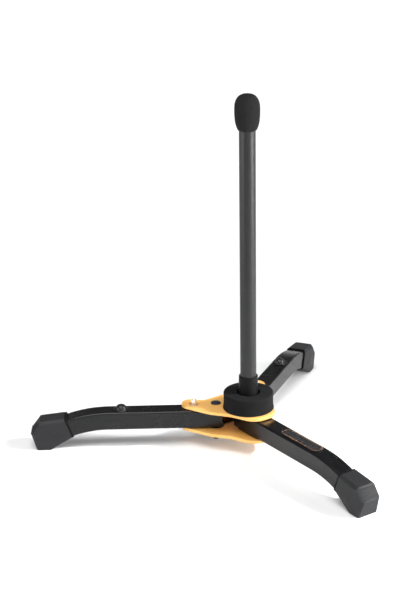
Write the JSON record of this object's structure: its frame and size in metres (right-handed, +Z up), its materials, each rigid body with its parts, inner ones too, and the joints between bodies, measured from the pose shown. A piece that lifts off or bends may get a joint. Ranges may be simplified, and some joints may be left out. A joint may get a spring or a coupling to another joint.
{
  "type": "alto flute stand",
  "caption": "Folding tripod stand for an alto flute: gold plates, bent square-tube legs in rubber boots, foam ring and a tall pole with a foam head.",
  "frame": {"origin": "middle of the stand's outline on the floor, under the three boots", "axes": "+Z up along the pole, front leg toward -Y, left rear leg toward -X and right rear leg toward +X"},
  "size_m": [0.3644, 0.3292, 0.3632],
  "materials": {
    "gold_finish": "satin gold",
    "black_paint": "semi-matte black",
    "boot_rubber": "matte dark grey",
    "black_foam": "fine closed-cell foam",
    "black_plastic": "matte black",
    "satin_grey": "satin dark grey",
    "chrome_finish": "polished",
    "zinc_steel": "zinc plated",
    "black_steel": "blackened",
    "brass_thread": "turned",
    "label_face": "bare badge"
  },
  "bodies": {
    "base": {"top_plate": "gold_finish", "bottom_plate": "gold_finish", "front_leg": "black_paint", "front_boot": "boot_rubber", "front_leg_rivet": "zinc_steel", "front_shim_top": "black_plastic", "front_shim_bottom": "black_plastic", "leg_label": "label_face", "centre_bolt": "zinc_steel", "bolt_sleeve": "zinc_steel", "bolt_washer": "zinc_steel", "stud_nut": "zinc_steel", "base_pad": "black_foam", "left_pivot_bolt": "black_steel", "left_pivot_nut": "black_steel", "left_pivot_sleeve": "zinc_steel", "left_pivot_washer_top": "black_plastic", "left_pivot_washer_bottom": "black_plastic", "right_pivot_bolt": "black_steel", "right_pivot_nut": "black_steel", "right_pivot_sleeve": "zinc_steel", "right_pivot_washer_top": "black_plastic", "right_pivot_washer_bottom": "black_plastic"},
    "left_leg": {"left_leg": "black_paint", "left_boot": "boot_rubber", "left_leg_plug": "boot_rubber", "left_lock_spring": "zinc_steel"},
    "right_leg": {"right_leg": "black_paint", "right_boot": "boot_rubber", "right_leg_plug": "boot_rubber", "right_lock_spring": "zinc_steel"},
    "left_lock_button": {"left_lock_button": "chrome_finish"},
    "right_lock_button": {"right_lock_button": "chrome_finish"},
    "left_lock_plunger": {"left_lock_plunger": "zinc_steel"},
    "right_lock_plunger": {"right_lock_plunger": "zinc_steel"},
    "pole": {"pole_collar": "black_plastic", "pole_insert": "brass_thread", "pole_tube": "satin_grey", "pole_end_plug": "black_plastic", "pole_head": "black_foam"}
  },
  "joints": [
    {"name": "left_leg_fold", "type": "hinge", "parent": "base", "child": "left_leg", "pos_m": [-0.021, 0.05295, 0.0292], "axis": [0, 0, 1], "range_deg": [0, 121.5]},
    {"name": "right_leg_fold", "type": "hinge", "parent": "base", "child": "right_leg", "pos_m": [0.021, 0.05295, 0.0292], "axis": [0, 0, 1], "range_deg": [-121.5, 0]},
    {"name": "left_button_press", "type": "slide", "parent": "base", "child": "left_lock_button", "axis": [0, 0, -1], "range_m": [0, 0.0052], "stiffness_N_per_m": 800, "springref_m": -0.004},
    {"name": "right_button_press", "type": "slide", "parent": "base", "child": "right_lock_button", "axis": [0, 0, -1], "range_m": [0, 0.0052], "stiffness_N_per_m": 800, "springref_m": -0.004},
    {"name": "left_plunger_slide", "type": "slide", "parent": "left_leg", "child": "left_lock_plunger", "axis": [0, 0, -1], "range_m": [0, 0.0052], "deforming": ["left_lock_spring"]},
    {"name": "right_plunger_slide", "type": "slide", "parent": "right_leg", "child": "right_lock_plunger", "axis": [0, 0, -1], "range_m": [0, 0.0052], "deforming": ["right_lock_spring"]},
    {"name": "pole_lift", "type": "slide", "parent": "base", "child": "pole", "axis": [0, 0, 1], "range_m": [0, 0.03]}
  ],
  "couplings": [
    {"joint": "left_plunger_slide", "follows": "left_button_press", "ratio": 1},
    {"joint": "right_plunger_slide", "follows": "right_button_press", "ratio": 1}
  ]
}
